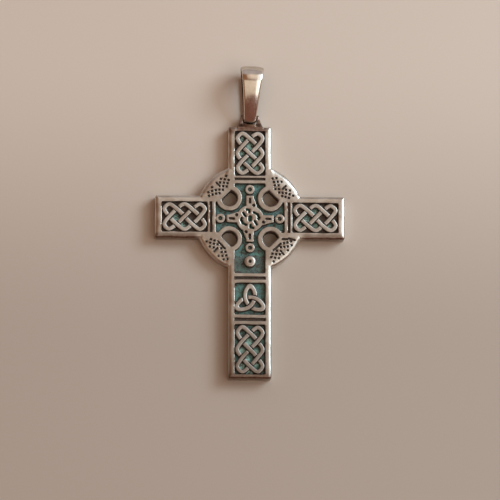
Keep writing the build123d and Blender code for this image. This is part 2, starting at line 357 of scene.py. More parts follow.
# The room's soft light. Each zone covers those before it where all its steps are full: the axis
# or earlier zone that a step follows, and where it begins and ends there. "beside" is how far a
# direction lies to either side of one a little to the left.
beside_offset = 0.08
room_zones = [
    ("back", (0.80, 0.63, 0.51), [("to_back", 0.0, 0.4)]),
    ("front", (0.16, 0.07, 0.035), [("to_back", 0.14, -0.1)]),
    ("left", (0.23, 0.105, 0.05), [("to_right", 0.03, -0.24)]),
    ("right panel", (1.08, 1.05, 1.0), [("to_right", 0.21, 0.33), ("up", 0.5, 0.65)]),
    ("front right panel", (1.7, 1.62, 1.52), [
        ("to_right", 0.21, 0.33), ("up", 0.5, 0.65),
        ("to_back", 0.0, -0.2), ("to_right", 0.72, 0.6),
    ]),
    ("ahead", (0.68, 0.55, 0.43), [
        ("to_back", -0.06, -0.14), ("beside", 0.5, 0.38), ("right panel", 0.6, 0.2),
    ]),
    ("low", (0.40, 0.30, 0.23), [("up", 0.35, 0.15)]),
    ("far back", (0.38, 0.33, 0.32), [("to_back", 0.60, 0.74)]),
    ("far front", (0.16, 0.065, 0.045), [("to_back", -0.58, -0.60)]),
]

# The window: direction in degrees, distance and size in metres, power in watts
window_azimuth = 28
window_elevation = 34
window_distance = 0.6
window_size = (0.34, 0.24)
window_power = 2.6

# Floor: size and depth below the pendant in metres, and its finish
floor_size = 3.0
floor_depth = 0.00001
floor_roughness = 0.85
floor_specular = 0.1

# Camera: angles in degrees, how far below the arms it aims in millimetres, the rest in metres
view_from_front = 11.0
view_from_left = 3.5
view_below_arms = 6.38
camera_distance = 2.5
view_width = 0.0952
clip_near = 0.01
clip_far = 10

# Places worked out from the sizes above
arm_half = arm_width / 2
field_half_width = arm_half - side_border
bar_group = inner_bar + bar_groove + outer_bar
lower_group = 2 * lower_bar + lower_groove
floor_z = plate_thickness - recess_depth
turn_inner = ear_bar / 2 + turn_clearance
turn_outer = turn_inner + strap_thickness
bar_y = top_reach + bar_above_plate
bar_z = turn_outer + bail_lift
panels_top = lane_reach + bar_group
triquetra_top = -lane_foot_reach - lower_group
triquetra_bottom = triquetra_top - triquetra_panel_length
triquetra_y = triquetra_top - triquetra_head_room - triquetra_tip_radius
arm_field_end = arm_span / 2 - arm_end_border
shaft_field_top = top_reach - shaft_end_border
shaft_field_bottom = shaft_end_border - foot_reach
foot_panel_top = triquetra_bottom - lower_group
hole_half = strap_width_at_bar / 2 + ear_hole_play
hole_low = bar_y - turn_outer - ear_hole_play
leg_half = hole_half + ear_leg
arms_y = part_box("cross")[0].y / MM + foot_reach

# The plaited panels: left, right, bottom and top edge, then the plait's loops across and up
panels = [
    (-arm_field_end, -panels_top, -field_half_width, field_half_width, 3, 2),
    (panels_top, arm_field_end, -field_half_width, field_half_width, 3, 2),
    (-field_half_width, field_half_width, panels_top, shaft_field_top, 2, 3),
    (-field_half_width, field_half_width, shaft_field_bottom, foot_panel_top, 2, 3),
]

grid_top = bar_y + ear_bar / 2
columns_x = np.arange(-arm_span / 2 - grid_step, arm_span / 2 + 2 * grid_step, grid_step)
rows_y = np.arange(-foot_reach - grid_step, grid_top + 2 * grid_step, grid_step)
grid_x, grid_y = np.meshgrid(columns_x, rows_y)


def eased(share):
    """A share from 0 to 1 that sets out and arrives gently."""
    return share * share * (3 - 2 * share)


def value_noise(seed, wavelength):
    """A smooth random field on the grid, from -1 to 1, with bumps about a wavelength apart."""
    across = (grid_x - grid_x.min()) / wavelength
    along = (grid_y - grid_y.min()) / wavelength
    size = (int(along.max()) + 2, int(across.max()) + 2)
    knots = np.random.default_rng(seed).uniform(-1, 1, size)
    column, row = across.astype(int), along.astype(int)
    share_x, share_y = eased(across - column), eased(along - row)
    low = knots[row, column] * (1 - share_x) + knots[row, column + 1] * share_x
    high = knots[row + 1, column] * (1 - share_x) + knots[row + 1, column + 1] * share_x
    return low * (1 - share_y) + high * share_y


# Hand-worked wax is never quite true, so the relief is drawn through wandering coordinates
relief_x = grid_x + wander * value_noise(1, wander_wavelength)
relief_y = grid_y + wander * value_noise(2, wander_wavelength)


def box_depth(x, y, left, right, bottom, top, radius=0.0):
    """How deep each point lies inside a box with rounded corners; negative outside."""
    over_x = np.abs(x - (left + right) / 2) - (right - left) / 2 + radius
    over_y = np.abs(y - (bottom + top) / 2) - (top - bottom) / 2 + radius
    outside = np.hypot(np.maximum(over_x, 0), np.maximum(over_y, 0))
    return radius - outside - np.minimum(np.maximum(over_x, over_y), 0)


def disc_depth(x, y, centre_x, centre_y, radius):
    """How deep each point lies inside a disc."""
    return radius - np.hypot(x - centre_x, y - centre_y)


def convex_depth(x, y, corners):
    """How deep each point lies inside a convex polygon with anticlockwise corners."""
    depth = np.full(x.shape, np.inf)
    for (x0, y0), (x1, y1) in zip(corners, corners[1:] + corners[:1]):
        length = math.hypot(x1 - x0, y1 - y0)
        depth = np.minimum(depth, ((x1 - x0) * (y - y0) - (y1 - y0) * (x - x0)) / length)
    return depth


def slot_depth(x, y, start, end, width):
    """How deep each point lies inside a slot with round ends between two points."""
    (x0, y0), (x1, y1) = start, end
    along = ((x - x0) * (x1 - x0) + (y - y0) * (y1 - y0)) / ((x1 - x0) ** 2 + (y1 - y0) ** 2)
    along = np.clip(along, 0, 1)
    return width / 2 - np.hypot(x - x0 - along * (x1 - x0), y - y0 - along * (y1 - y0))


def pointing(degrees):
    """The direction at an angle, as its cosine and sine."""
    return math.cos(math.radians(degrees)), math.sin(math.radians(degrees))


def turned(x, y, degrees):
    """Coordinates as seen from axes turned by an angle."""
    cosine, sine = pointing(degrees)
    return x * cosine + y * sine, y * cosine - x * sine


def quarters(x, y, first=0):
    """Coordinates from the rosette's middle, as seen from axes at each quarter of a turn."""
    return [turned(x, y + hub_drop, first + 90 * turn) for turn in range(4)]


def rise(depth, draft=wall_draft, shoulder=shoulder_round, shoulder_share=wall_shoulder_share):
    """Share of the full height at a depth inside an edge: a sloped wall, then a round shoulder."""
    wall = eased(np.clip((depth + draft) / draft, 0, 1))
    over = np.clip(depth / shoulder, 0, 1)
    rounding = np.sqrt(np.maximum(0, 1 - (1 - over) ** 2))
    return wall * (1 - shoulder_share) + shoulder_share * rounding


def plait_walk(columns, rows):
    """The nodes that one closed strand visits on a grid, each with its kind."""
    nodes = []
    column, row, step_x, step_y = 1, 0, 1, 1
    while True:
        on_wall = column in (0, 2 * columns) or row in (0, 2 * rows)
        falls = step_x == step_y
        over = falls == (column % 2 == 0)
        nodes.append((column, row, "wall" if on_wall else "over" if over else "under"))
        column, row = column + step_x, row + step_y
        step_x = -step_x if column in (0, 2 * columns) else step_x
        step_y = -step_y if row in (0, 2 * rows) else step_y
        if (column, row, step_x, step_y) == (1, 0, 1, 1):
            return nodes


def smooth_stretch(before, start, end, after, count):
    """Points on a curve from start to end that keeps its direction through both."""
    share = np.linspace(0, 1, count, endpoint=False)[:, None]
    leave, arrive = (end - before) / 2, (after - start) / 2
    return (
        start * (2 * share**3 - 3 * share**2 + 1)
        + leave * (share**3 - 2 * share**2 + share)
        + end * (3 * share**2 - 2 * share**3)
        + arrive * (share**3 - share**2)
    )


def plait_runs(left, right, bottom, top, columns, rows):
    """The centre lines of a plait's visible stretches, each between two under-crossings."""
    cell_x, cell_y = (right - left) / (2 * columns), (top - bottom) / (2 * rows)
    nodes = plait_walk(columns, rows)
    first = next(index for index, node in enumerate(nodes) if node[2] == "under")
    nodes = nodes[first:] + nodes[:first]
    places = []
    for column, row, _ in nodes:
        x = min(max(left + column * cell_x, left + strand_inset), right - strand_inset)
        y = min(max(top - row * cell_y, bottom + strand_inset), top - strand_inset)
        places.append(np.array([x, y]))
    total = len(nodes)
    stretch_count = int(max(cell_x, cell_y) * slant_allowance / sample_spacing)
    runs, line = [], []
    for index in range(total):
        if nodes[index][2] == "under" and line:
            runs.append(np.concatenate(line))
            line = []
        around = [places[(index + shift) % total] for shift in (-1, 0, 1, 2)]
        line.append(smooth_stretch(*around, stretch_count))
    runs.append(np.concatenate(line))
    return runs


def grid_window(values, line_values):
    """The slice of the grid's rows or columns around a line, with room for a strand's width."""
    low, high = line_values.min() - strand_width, line_values.max() + strand_width
    return slice(np.searchsorted(values, low), np.searchsorted(values, high))


def strand_height(run, height):
    """Raises one visible stretch of a strand out of the height field."""
    lengths = np.linalg.norm(np.diff(run, axis=0), axis=1)
    reach = np.concatenate([[0], np.cumsum(lengths)])
    cut = strand_width / 2 + strand_gap
    kept = (reach > cut) & (reach < reach[-1] - cut)
    line, along = run[kept], reach[kept] - cut
    length = reach[-1] - 2 * cut
    tangent = np.gradient(line, axis=0)
    tangent /= np.linalg.norm(tangent, axis=1)[:, None]
    window = grid_window(rows_y, line[:, 1]), grid_window(columns_x, line[:, 0])
    x, y = relief_x[window], relief_y[window]
    away = (x[..., None] - line[:, 0]) ** 2 + (y[..., None] - line[:, 1]) ** 2
    nearest = away.argmin(-1)
    from_x, from_y = x - line[nearest, 0], y - line[nearest, 1]
    forward = from_x * tangent[nearest, 0] + from_y * tangent[nearest, 1]
    sideways = np.abs(from_x * tangent[nearest, 1] - from_y * tangent[nearest, 0])
    from_start = along[nearest] + forward
    to_end = np.minimum(from_start, length - from_start)
    share = rise(strand_width / 2 - sideways, shoulder=strand_shoulder, shoulder_share=strand_dome)
    end_share = rise(to_end, shoulder=strand_end_shoulder, shoulder_share=strand_dome)
    raised = floor_z + (recess_depth - strand_drop) * np.minimum(share, end_share)
    height[window] = np.maximum(height[window], raised)


def triquetra_depth(x, y):
    """Three interlaced arcs between three tips, cut where one passes under the next."""
    half_chord = triquetra_tip_radius * math.sin(math.radians(60))
    centre_distance = triquetra_tip_radius / 2 + triquetra_arc_bow
    arc_radius = math.hypot(half_chord, triquetra_arc_bow)
    half = strand_width / 2
    reaches, crossings = [], []
    for angle in (30, 150, 270):
        cosine, sine = pointing(angle)
        reaches.append(np.hypot(x - centre_distance * cosine, y - centre_distance * sine))
        cosine, sine = pointing(angle + 60)
        distance = centre_distance - triquetra_tip_radius
        crossings.append((distance * cosine, distance * sine))
    neighbours = ((0, 1), (1, 2), (2, 0))
    depth = np.full(x.shape, -np.inf)
    towards_tip = np.clip(np.hypot(x, y) / triquetra_tip_radius * 2 - 1, 0, 1)
    # Never quite 0, so that it can be divided by
    blend = triquetra_tip_blend * towards_tip + 1e-6
    for first, second in neighbours:
        overlap = np.maximum(blend - np.abs(reaches[first] - reaches[second]), 0) / blend
        farther = np.maximum(reaches[first], reaches[second]) + overlap**2 * blend / 4
        depth = np.maximum(depth, half - np.abs(farther - arc_radius))
    for under, over in neighbours:
        from_over = np.abs(reaches[over] - arc_radius)
        beside = np.minimum(from_over - half, half + strand_gap - from_over)
        on_under = half + strand_gap - np.abs(reaches[under] - arc_radius)
        near = disc_depth(x, y, *crossings[under], strand_width)
        depth = np.minimum(depth, -np.minimum(np.minimum(beside, on_under), near))
    return depth


def hole_depth(x, y):
    """How deep each point lies inside the four pierced holes."""
    holes = []
    for along, across in quarters(x, y, 45):
        round_side = disc_depth(along, across, hole_distance, 0, hole_radius)
        holes.append(np.minimum(round_side, hole_flat_distance - along))
    return np.maximum.reduce(holes)


def ear_plan_depth(x, y):
    """The ear seen from above: a web that narrows, two legs and the bar, with its hole."""
    base = ear_base_width / 2
    bar_bottom = bar_y - ear_bar / 2
    web = convex_depth(x, y, [
        (-base, shaft_field_top), (base, shaft_field_top), (base, top_reach),
        (leg_half, bar_y), (-leg_half, bar_y), (-base, top_reach),
    ])
    rod = box_depth(x, y, -leg_half, leg_half, bar_bottom, bar_y + ear_bar / 2, ear_edge_round)
    hole = box_depth(x, y, -hole_half, hole_half, hole_low, bar_bottom, 2 * ear_edge_round)
    return np.minimum(np.maximum(web, rod), -hole)


def arms_depth(x, y):
    """How deep each point lies inside the two crossing bars of the plate."""
    arms = box_depth(x, y, -arm_span / 2, arm_span / 2, -arm_half, arm_half, corner_round)
    shaft = box_depth(x, y, -arm_half, arm_half, -foot_reach, top_reach, corner_round)
    return np.maximum(arms, shaft)


def plate_depth(x, y):
    """How deep each point lies inside the outline of the plate without the ear."""
    return np.maximum(arms_depth(x, y), disc_depth(x, y, 0, 0, ring_radius))


def outline_depth(x, y):
    """How deep each point lies inside the whole casting seen from above."""
    return np.minimum(np.maximum(plate_depth(x, y), ear_plan_depth(x, y)), -hole_depth(x, y))


def rosette_depth(x, y):
    """Everything that stands up in the middle: rims, ring, bars and studs."""
    half_bar = bar_width / 2
    bar_edges = -half_bar, half_bar, hub_ring_outer - bar_overlap, bar_reach
    flare_corners = [
        (half_bar - bar_overlap, hub_ring_outer - 2 * bar_overlap),
        (flare_tip_side, flare_tip_reach),
        (half_bar, slot_end),
        (half_bar - bar_overlap, slot_end),
    ]
    forms = [disc_depth(x, y + hub_drop, 0, 0, hub_ring_outer)]
    for along, across in quarters(x, y, 45):
        forms.append(disc_depth(along, across, hole_distance, 0, hole_radius + rim_width))
    for across, along in quarters(x, y):
        forms.append(box_depth(across, along, *bar_edges, bar_corner_round))
        forms.append(convex_depth(across, along, flare_corners))
        forms.append(disc_depth(across, along, 0, stud_distance, stud_radius))
    return np.maximum.reduce(forms)


def stud_pit_depth(x, y):
    """The round pits in the four studs and the ball."""
    pits = [disc_depth(x, y + hub_drop, 0, -ball_distance, ball_pit_radius)]
    for across, along in quarters(x, y):
        pits.append(disc_depth(across, along, 0, stud_distance, stud_hole_radius))
    return np.maximum.reduce(pits)


def rosette_pit_depth(x, y):
    """All small pits and slots cut into the raised rosette."""
    start, end = (0, slot_start + slot_width / 2), (0, slot_end - slot_width / 2)
    pits = [stud_pit_depth(x, y)]
    for across, along in quarters(x, y):
        pits.append(slot_depth(across, along, start, end, slot_width))
        pits.append(disc_depth(across, along, flare_pit_side, flare_pit_reach, flare_pit_radius))
    return np.maximum.reduce(pits)


def lattice_pit_depth(x, y):
    """The pits between the fine plaited strands on each visible part of the ring."""
    outer = lattice_inner + lattice_row * len(lattice_rows)
    cosine, sine = pointing(lattice_step)
    groove_x, groove_y = lattice_inner * cosine, lattice_inner * sine
    slot_ends = (outer - 2 * lattice_row, 0), (outer, 0)
    groove_ends = (groove_x, -groove_y), (groove_x, groove_y)
    pits = [slot_depth(x, y, *slip, lattice_slip_width) for slip in lattice_slips]
    for turn in range(4):
        middle = 45 + 90 * turn + lattice_turn
        along, across = turned(x, y + hub_drop, middle)
        pits.append(slot_depth(along, across, *slot_ends, lattice_slot_width))
        upper = turn < 2
        if not upper:
            pits.append(slot_depth(along, across, *groove_ends, lattice_slot_width))
        rows = lattice_rows + [upper_inner_row] if upper else lattice_rows
        for row, places in enumerate(rows):
            for place in places:
                along, across = turned(x, y + hub_drop, middle + place * lattice_step)
                diamond = np.abs(along - outer + row * lattice_row) + np.abs(across)
                pits.append((lattice_pit / 2 - diamond) / math.sqrt(2))
    return np.maximum.reduce(pits)


def knot_opening_depth(x, y):
    """The openings between the strands of the rosette's knot."""
    y = y + hub_drop
    slots = [slot_depth(x, y, *opening) for opening in knot_openings]
    twins = [slot_depth(-x, -y, *opening) for opening in knot_openings]
    return np.maximum.reduce(slots + twins)


def sunk_fields(x, y):
    """How deep each point lies inside the recessed panels and the lanes around the rosette."""
    half = field_half_width
    sunk = [box_depth(x, y, *panel[:4], panel_corner_round) for panel in panels]
    sunk.append(box_depth(x, y, -half, half, triquetra_bottom, triquetra_top, panel_corner_round))
    lanes = np.maximum(
        box_depth(x, y, -half, half, -lane_foot_reach, lane_reach, panel_corner_round),
        box_depth(x, y, -lane_reach, lane_reach, -half, half, panel_corner_round),
    )
    sunk.append(np.minimum(lanes, -rosette_depth(x, y)))
    return np.maximum.reduce(sunk)


def groove_fields(x, y):
    """How deep each point lies inside the grooves between the bars."""
    half = field_half_width
    start = lane_reach + inner_bar
    end = start + bar_groove
    grooves = [
        box_depth(x, y, -end, -start, -half, half),
        box_depth(x, y, start, end, -half, half),
        box_depth(x, y, -half, half, start, end),
    ]
    for panel_edge in (-lane_foot_reach, triquetra_bottom):
        groove_top = panel_edge - lower_bar
        grooves.append(box_depth(x, y, -half, half, groove_top - lower_groove, groove_top))
    return np.maximum.reduce(grooves)


def front_height():
    """The height of the front at each point of the grid."""
    x, y = relief_x, relief_y
    strand_rise = {"shoulder": strand_shoulder, "shoulder_share": strand_dome}
    height = floor_z + recess_depth * rise(-sunk_fields(x, y))
    height -= groove_depth * rise(groove_fields(x, y))
    for panel in panels:
        for run in plait_runs(*panel):
            strand_height(run, height)
    share = rise(triquetra_depth(x, y - triquetra_y), **strand_rise)
    height = np.maximum(height, floor_z + (recess_depth - strand_drop) * share)
    share = rise(-knot_opening_depth(x, y), **strand_rise)
    height = np.minimum(height, floor_z + recess_depth * share)
    from_ball = disc_depth(x, y, 0, -hub_drop - ball_distance, ball_radius)
    share = rise(from_ball, shoulder=ball_shoulder, shoulder_share=ball_dome)
    height = np.maximum(height, floor_z + recess_depth * share)
    height -= detail_depth * rise(rosette_pit_depth(x, y), shoulder=detail_shoulder)
    height -= lattice_depth * rise(lattice_pit_depth(x, y), draft=lattice_draft)
    return height


def rounded_drop(depth, radius, fall):
    """How far a rounded edge falls away at a depth inside the outline."""
    inside = np.clip(1 - depth / radius, 0, 1)
    return fall - fall * np.sqrt(1 - inside**2)


def ear_heights(depth):
    """The ear's top and bottom heights at each point of the grid."""
    low, high = bar_z - ear_bar / 2, bar_z + ear_bar / 2
    bar_bottom = bar_y - ear_bar / 2
    web_top = plate_thickness - ear_web_drop
    top = np.interp(
        grid_y,
        [shaft_field_top, top_reach, hole_low, bar_bottom],
        [web_top, web_top, high + ear_web_extra / 2, high],
    )
    bottom = np.interp(
        grid_y,
        [top_reach, hole_low, bar_bottom],
        [low - ear_web_extra, low - ear_web_extra / 2, low],
    )
    rod = np.sqrt(np.maximum((ear_bar / 2) ** 2 - (grid_y - bar_y) ** 2, 0))
    over_hole = (np.abs(grid_x) < hole_half) & (grid_y > bar_bottom - grid_step)
    on_rod = (grid_y > bar_y) | over_hole
    top = np.where(on_rod, bar_z + rod, top)
    bottom = np.where(on_rod, bar_z - rod, bottom)
    side = np.where(on_rod, leg_half - np.abs(grid_x), depth)
    drop = np.minimum(rounded_drop(side, ear_edge_round, ear_edge_round), (top - bottom) / 2)
    return top - drop, bottom + drop


def blurred(field, radius):
    """A field on the grid, evened out by running means over a few passes."""
    reach = max(int(radius / grid_step), 1)
    weights = np.ones(2 * reach + 1) / (2 * reach + 1)
    for axis in (0, 1, 0, 1):
        field = np.apply_along_axis(np.convolve, axis, field, weights, mode="same")
    return field


def spots_share(spots, hardness):
    """1 inside round spots, falling to 0 at their edges; a harder spot falls nearer its edge."""
    share = np.zeros(grid_x.shape)
    for centre_x, centre_y, radius in spots:
        inside = disc_depth(grid_x, grid_y, centre_x, centre_y, radius) / radius
        share = np.maximum(share, np.clip(inside * hardness, 0, 1))
    return share


def verdigris_share(in_knot):
    """How much verdigris may grow: up to 1 on the floors and 2 between the knot's strands."""
    edges = -lane_reach, lane_reach, -foot_reach, lane_reach
    share = np.where(box_depth(grid_x, grid_y, *edges) > 0, rosette_verdigris, 0.0)
    edges = -lane_reach, lane_reach, triquetra_top, lower_verdigris_top
    share = np.where(box_depth(grid_x, grid_y, *edges) > 0, lower_verdigris, share)
    share = np.maximum(share, spots_share(verdigris_spots, verdigris_hardness))
    return np.maximum(share, knot_verdigris * in_knot)


def beyond_ring():
    """0 up to the ring and 1 on the parts of the arms that reach past it."""
    return np.interp(np.abs(grid_x) - ring_radius, *past_ring)


def painted_shade_share(from_edge, from_hole):
    """How much painted shade darkens the raised metal: more below each arm, by the holes and low
    down.
    """
    below_arms = np.interp(grid_y + arm_half, *painted_shade_up_arm) * beyond_ring()
    below_arms = below_arms * np.where(grid_x < 0, 1, painted_shade_on_right_arm)
    to_foot = np.interp(grid_y, [shaft_field_bottom, -lane_foot_reach], [painted_shade_at_foot_panel, 0])
    shares = [
        np.interp(from_edge, *painted_shade_inwards),
        np.interp(from_hole, *painted_shade_by_hole),
        np.interp(grid_y + foot_reach, *painted_shade_up_foot),
        below_arms,
        to_foot,
    ]
    return np.minimum(sum(shares), 1)


def tarnish_and_painted_reflection_share(ear_depth):
    """Where brown covers the outside: tarnish on the ear and in some stains, and on the lower edges
    partly tarnish, partly painted reflection.
    """
    on_ear = (ear_depth > -grid_step) & (grid_y > shaft_field_top)
    share = np.where(on_ear, np.interp(ear_depth, *ear_tarnish), 0)
    up_arm = np.interp(grid_y + arm_half, [0, edge_tarnish_and_painted_reflection_reach], [1, 0]) * beyond_ring()
    up_foot = np.interp(grid_y + foot_reach, [0, edge_tarnish_and_painted_reflection_reach], [1, 0])
    share = np.maximum(share, edge_tarnish_and_painted_reflection * np.maximum(up_arm, up_foot))
    return np.maximum(share, stain_tarnish * spots_share(stains, stain_hardness))


def casting_sheets():
    """The casting's depth inside its outline, its front and back height, and its masks."""
    depth = outline_depth(grid_x, grid_y)
    from_edge = plate_depth(relief_x, relief_y)
    from_hole = -hole_depth(grid_x, grid_y)
    on_ring = np.clip(-arms_depth(relief_x, relief_y) / ring_crown_start, 0, 1)
    crown = crown_fall + ring_crown_extra * on_ring
    crown = crown * np.clip(1 - from_edge / crown_breadth, 0, 1) ** 2
    surface = plate_thickness - crown - rounded_drop(from_edge, edge_breadth, edge_fall)
    surface -= rounded_drop(from_hole, hole_edge_round, hole_edge_round)
    top = np.minimum(front_height(), surface)
    sunk = np.clip((surface - top) / recess_depth, 0, 1)
    bottom = rounded_drop(np.minimum(from_edge, from_hole), back_edge_round, back_edge_round)
    ear_top, ear_bottom = ear_heights(depth)
    ear_depth = ear_plan_depth(grid_x, grid_y)
    on_ear = ear_depth >= -grid_step
    past_plate = grid_y > top_reach
    top = np.where(on_ear & past_plate, ear_top, top)
    top = np.where(on_ear & ~past_plate, np.maximum(top, ear_top), top)
    bottom = np.where(past_plate, ear_bottom, bottom)
    in_knot = rise(knot_opening_depth(relief_x, relief_y))
    in_studs = rise(stud_pit_depth(relief_x, relief_y))
    masks = {
        "sunk": sunk,
        "openness": np.maximum.reduce([blurred(sunk, openness_blur), in_knot, in_studs]),
        "verdigris": verdigris_share(in_knot),
        "painted_shade": painted_shade_share(from_edge, from_hole),
        "tarnish_and_painted_reflection": tarnish_and_painted_reflection_share(ear_depth),
    }
    for seed, wavelength, height in front_bumps:
        top = top + height * value_noise(seed, wavelength)
    return depth, top, bottom, masks


def corners_of(field):
    """A field's values at the four corners of each cell, in turn around the cell."""
    return np.stack([field[:-1, :-1], field[:-1, 1:], field[1:, 1:], field[1:, :-1]])


def casting_mesh():
    """A closed mesh between the front and back sheets, with its edge on the outline."""
    depth, top, bottom, masks = casting_sheets()
    cells = corners_of(depth > -grid_step / 2).all(0)
    cells_around = corners_of(np.pad(cells, 1))
    used = cells_around.any(0)
    rim = used & ~cells_around.all(0)
    slope_y, slope_x = np.gradient(depth, grid_step)
    steepness = np.maximum(np.hypot(slope_x, slope_y), least_slope)
    x = np.where(rim, grid_x - depth * slope_x / steepness**2, grid_x)
    y = np.where(rim, grid_y - depth * slope_y / steepness**2, grid_y)
    count = int(used.sum())
    number = np.full(used.shape, -1)
    number[used] = np.arange(count)
    front = np.stack([x[used], y[used], top[used]], 1)
    back = np.stack([x[used], y[used], bottom[used]], 1)
    quads = corners_of(number)[:, cells].T
    edges = np.concatenate([quads[:, [side, (side + 1) % 4]] for side in range(4)])
    key = edges[:, 0] * count + edges[:, 1]
    mirror = edges[:, 1] * count + edges[:, 0]
    start, end = edges[~np.isin(key, mirror)].T
    walls = np.stack([end, start, start + count, end + count], 1)
    faces = np.concatenate([quads, quads[:, ::-1] + count, walls])
    vertices = np.concatenate([front, back])
    vertices[:, 1] += arms_y
    mesh = bpy.data.meshes.new("casting")
    mesh.from_pydata((vertices * MM).tolist(), [], faces.tolist())
    # The walls of the holes stay dark right down to the back, as painted shade that keeps the holes
    # dark
    by_hole = hole_depth(grid_x, grid_y)[used] > -grid_step
    for name, mask in masks.items():
        on_back = by_hole if name == "sunk" else np.zeros(count)
        values = np.concatenate([mask[used], on_back])
        mesh.attributes.new(name, "FLOAT", "POINT").data.foreach_set("value", values)
    mesh.validate()
    return mesh


def apply_modifiers(piece):
    """Replaces a piece's mesh by the one that its modifiers make."""
    graph = bpy.context.evaluated_depsgraph_get()
    made = bpy.data.meshes.new_from_object(piece.evaluated_get(graph))
    piece.modifiers.clear()
    piece.data = made


def set_walls_off(mesh):
    """Marks the rims of the plate's upright walls as sharp, so that the walls shade evenly."""
    work = bmesh.new()
    work.from_mesh(mesh)
    upright = set()
    for face in work.faces:
        heights = [corner.co.z for corner in face.verts]
        if max(heights) - min(heights) > plate_thickness / 2 * MM:
            upright.add(face.index)
    for edge in work.edges:
        if len({face.index in upright for face in edge.link_faces}) == 2:
            edge.smooth = False
    work.to_mesh(mesh)
    work.free()


def make_piece(name, mesh, body, node):
    """A named piece that rides on a body and stands for a node of the frame."""
    piece = bpy.data.objects.new(name, mesh)
    bpy.context.scene.collection.objects.link(piece)
    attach(piece, body)
    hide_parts(node)
    return piece


def casting():
    """The cast cross with its ear, thinned out to a sensible number of triangles."""
    piece = make_piece("cross_casting", casting_mesh(), "cross", "cross")
    weld = piece.modifiers.new("weld", "WELD")
    weld.merge_threshold = weld_distance * MM
    thin = piece.modifiers.new("thin", "DECIMATE")
    thin.ratio = casting_triangles / (2 * len(piece.data.polygons))
    apply_modifiers(piece)
    piece.data.shade_smooth()
    piece.data.set_sharp_from_angle(angle=math.radians(sharp_angle))
    set_walls_off(piece.data)
    return piece


def bail_line():
    """The middle of the strap's thickness from the side: places along and up, outward angles."""
    back_angle = -math.pi / 2 - math.asin((bail_end_radius - turn_outer) / bail_spread)
    to_bar = bail_front_radius - turn_outer
    to_end = bail_front_radius - bail_end_radius
    bow_y = (to_bar**2 - to_end**2 + bail_spread**2) / (2 * bail_spread)
    bow_z = -math.sqrt(to_bar**2 - bow_y**2)
    bar_angle = math.atan2(-bow_z, -bow_y)
    end_angle = math.atan2(-bow_z, bail_spread - bow_y)
    # Each arc: centre along and up, radius, first and last angle, number of steps
    arcs = [
        (bail_spread, 0, bail_end_radius, back_angle, end_angle, end_steps),
        (bow_y, bow_z, bail_front_radius, end_angle, bar_angle, front_steps),
        (0, 0, turn_outer, bar_angle, back_angle + 2 * math.pi, bar_steps),
    ]
    points = []
    for along, up, outer_radius, first, last, count in arcs:
        radius = outer_radius - strap_thickness / 2
        for angle in np.linspace(first, last, count, endpoint=False):
            points.append((along + radius * math.cos(angle), up + radius * math.sin(angle), angle))
    for share in np.linspace(0, 1, back_steps, endpoint=False):
        radius = turn_outer + (bail_end_radius - turn_outer) * share - strap_thickness / 2
        along = bail_spread * share + radius * math.cos(back_angle)
        points.append((along, radius * math.sin(back_angle), back_angle))
    return points


def strap_section():
    """The strap's cross-section as shares of its half width and half thickness, round corners."""
    section = []
    for turn in np.linspace(0, 2 * math.pi, section_steps, endpoint=False):
        cosine, sine = math.cos(turn), math.sin(turn)
        side = math.copysign(abs(cosine) ** strap_corner_power, cosine)
        out = math.copysign(abs(sine) ** strap_corner_power, sine)
        section.append((side, out))
    return section


def bail():
    """The tapered strap, crowned across and closed into a drop-shaped loop."""
    far = bail_spread + bail_end_radius
    tilt = math.asin((bail_end_radius - bar_z) / bail_spread)
    halves = [strap_width_at_bar / 2, strap_width_midway / 2, strap_width_at_end / 2]
    taper = np.polyfit([0, far / 2, far], halves, 2)
    section = strap_section()
    vertices, strap_shade = [], []
    for along, up, angle in bail_line():
        half_width = float(np.polyval(taper, max(along, 0)))
        painted_shade = float(np.interp(math.cos(angle), *strap_painted_shade))
        for side, out in section:
            crown = strap_crown * side**2 if out > 0 else 0
            offset = out * strap_thickness / 2 - crown
            across = side * half_width
            outwards, upwards = offset * math.cos(angle), offset * math.sin(angle)
            vertices.append((across, along + outwards, up + upwards))
            # Painted shade inside the loop, on its lower edges, round the bar and at its far end
            on_lower_edge = up < 0 and abs(side) > strap_edge
            strap_shade.append(1.0 if out < 0 or on_lower_edge else painted_shade)
    around = len(section)
    count = len(vertices) // around
    faces = []
    for station in range(count):
        here, following = station * around, (station + 1) % count * around
        for corner in range(around):
            other = (corner + 1) % around
            faces.append((here + corner, here + other, following + other, following + corner))
    mesh = bpy.data.meshes.new("bail_strap")
    mesh.from_pydata(vertices, [], faces)
    mesh.attributes.new("strap_shade", "FLOAT", "POINT").data.foreach_set("value", strap_shade)
    mesh.transform(Matrix.Rotation(tilt, 4, "X"))
    mesh.transform(Matrix.Rotation(math.radians(-bail_askew), 4, "Z"))
    mesh.transform(Matrix.Translation((bail_shift, bar_y + arms_y, bar_z)))
    mesh.transform(Matrix.Scale(MM, 4))
    mesh.shade_smooth()
    return make_piece("bail_strap", mesh, "bail", "bail")


